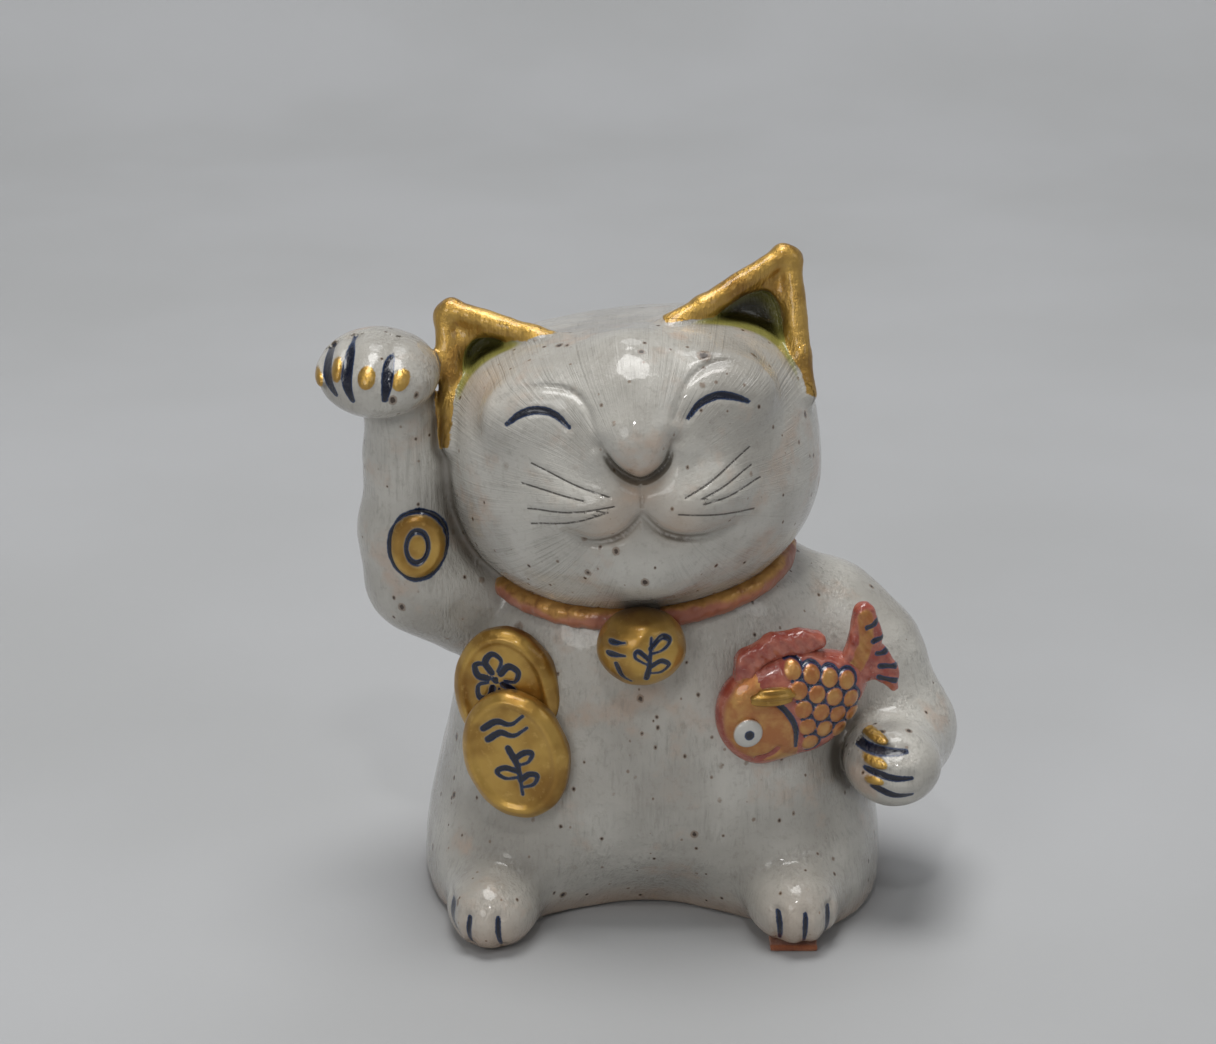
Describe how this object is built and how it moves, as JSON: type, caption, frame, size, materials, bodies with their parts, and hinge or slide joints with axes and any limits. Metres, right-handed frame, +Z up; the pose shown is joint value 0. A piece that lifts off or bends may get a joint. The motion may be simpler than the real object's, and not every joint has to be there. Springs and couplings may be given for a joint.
{
  "type": "beckoning cat figurine",
  "caption": "Seated hand-built glazed stoneware beckoning cat with one paw raised, a collar with a bell, oval coins and a fish held under the other arm.",
  "frame": {"origin": "middle of the bounding box's base, on the table", "axes": "+Z up, -Y towards the front of the cat, +X towards the cat's left"},
  "size_m": [0.1398, 0.1004, 0.1495],
  "materials": {
    "glaze": "glossy grey-white glaze over speckled stoneware",
    "gold": "fired gold lustre over glaze",
    "collar": "red-brown underglaze with gold lustre",
    "fish": "red and orange overglaze with gold and blue",
    "eye": "glossy white glaze with a dark pupil",
    "felt": "short orange-brown felt"
  },
  "bodies": {
    "root": {"trunk_shell": "glaze", "head_shell": "glaze", "right_ear": "gold", "left_ear": "gold", "raised_right_arm": "glaze", "raised_right_paw": "glaze", "left_arm": "glaze", "left_paw": "glaze", "right_foot": "glaze", "left_foot": "glaze", "bobtail": "glaze", "right_collar_strap": "collar", "left_collar_strap": "collar", "bell": "gold", "upper_koban": "gold", "lower_koban": "gold", "arm_medallion": "gold", "fish_body": "fish", "fish_dorsal_fin": "fish", "fish_tail_fin": "fish", "fish_pectoral_fin": "gold", "fish_eye": "eye", "levelling_pad": "felt"}
  },
  "joints": []
}
